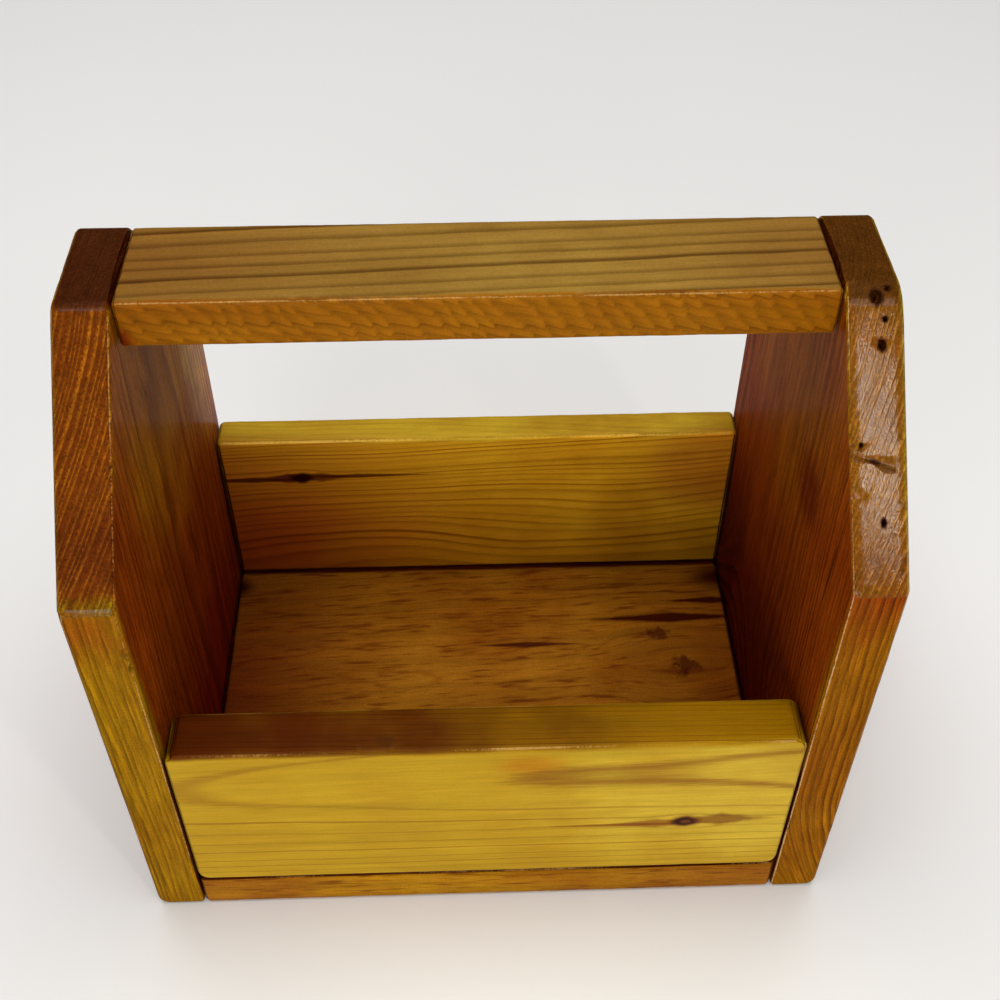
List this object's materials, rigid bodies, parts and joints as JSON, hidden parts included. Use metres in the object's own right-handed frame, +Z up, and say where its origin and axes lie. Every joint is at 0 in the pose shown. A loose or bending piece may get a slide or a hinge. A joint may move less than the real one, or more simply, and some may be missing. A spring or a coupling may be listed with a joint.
{
  "type": "wooden tool tote",
  "caption": "Small open wooden tool tote: upright ends with their top corners cut off, low front and back boards on a bottom board, and a plain board across the top as the handle.",
  "frame": {"origin": "middle of the footprint, on the surface the tote stands on", "axes": "+X along the handle, to the right as seen from the front; +Y towards the back; +Z up"},
  "size_m": [0.275, 0.184, 0.257],
  "materials": {
    "end_board_pine": "semi-gloss amber varnish on pine, worn arrises",
    "bottom_board_pine": "semi-gloss amber varnish on pine",
    "front_board_pine": "semi-gloss clear varnish on pale pine",
    "back_board_pine": "semi-gloss clear varnish on pine",
    "handle_pine": "semi-gloss clear varnish on pine",
    "nail_steel": "plain steel wire",
    "wood_filler": "varnished wood filler"
  },
  "bodies": {
    "root": {"left_end": "end_board_pine", "right_end": "end_board_pine", "bottom_board": "bottom_board_pine", "front_board": "front_board_pine", "back_board": "back_board_pine", "handle": "handle_pine", "left_nails_handle": "nail_steel", "right_nails_handle": "nail_steel", "left_nails_front_board": "nail_steel", "right_nails_front_board": "nail_steel", "left_nails_back_board": "nail_steel", "right_nails_back_board": "nail_steel", "left_nails_bottom_board": "nail_steel", "right_nails_bottom_board": "nail_steel", "upright_nails_front_board": "nail_steel", "upright_nails_back_board": "nail_steel", "left_end_filler": "wood_filler", "right_end_filler": "wood_filler", "bottom_board_filler": "wood_filler"}
  },
  "joints": []
}
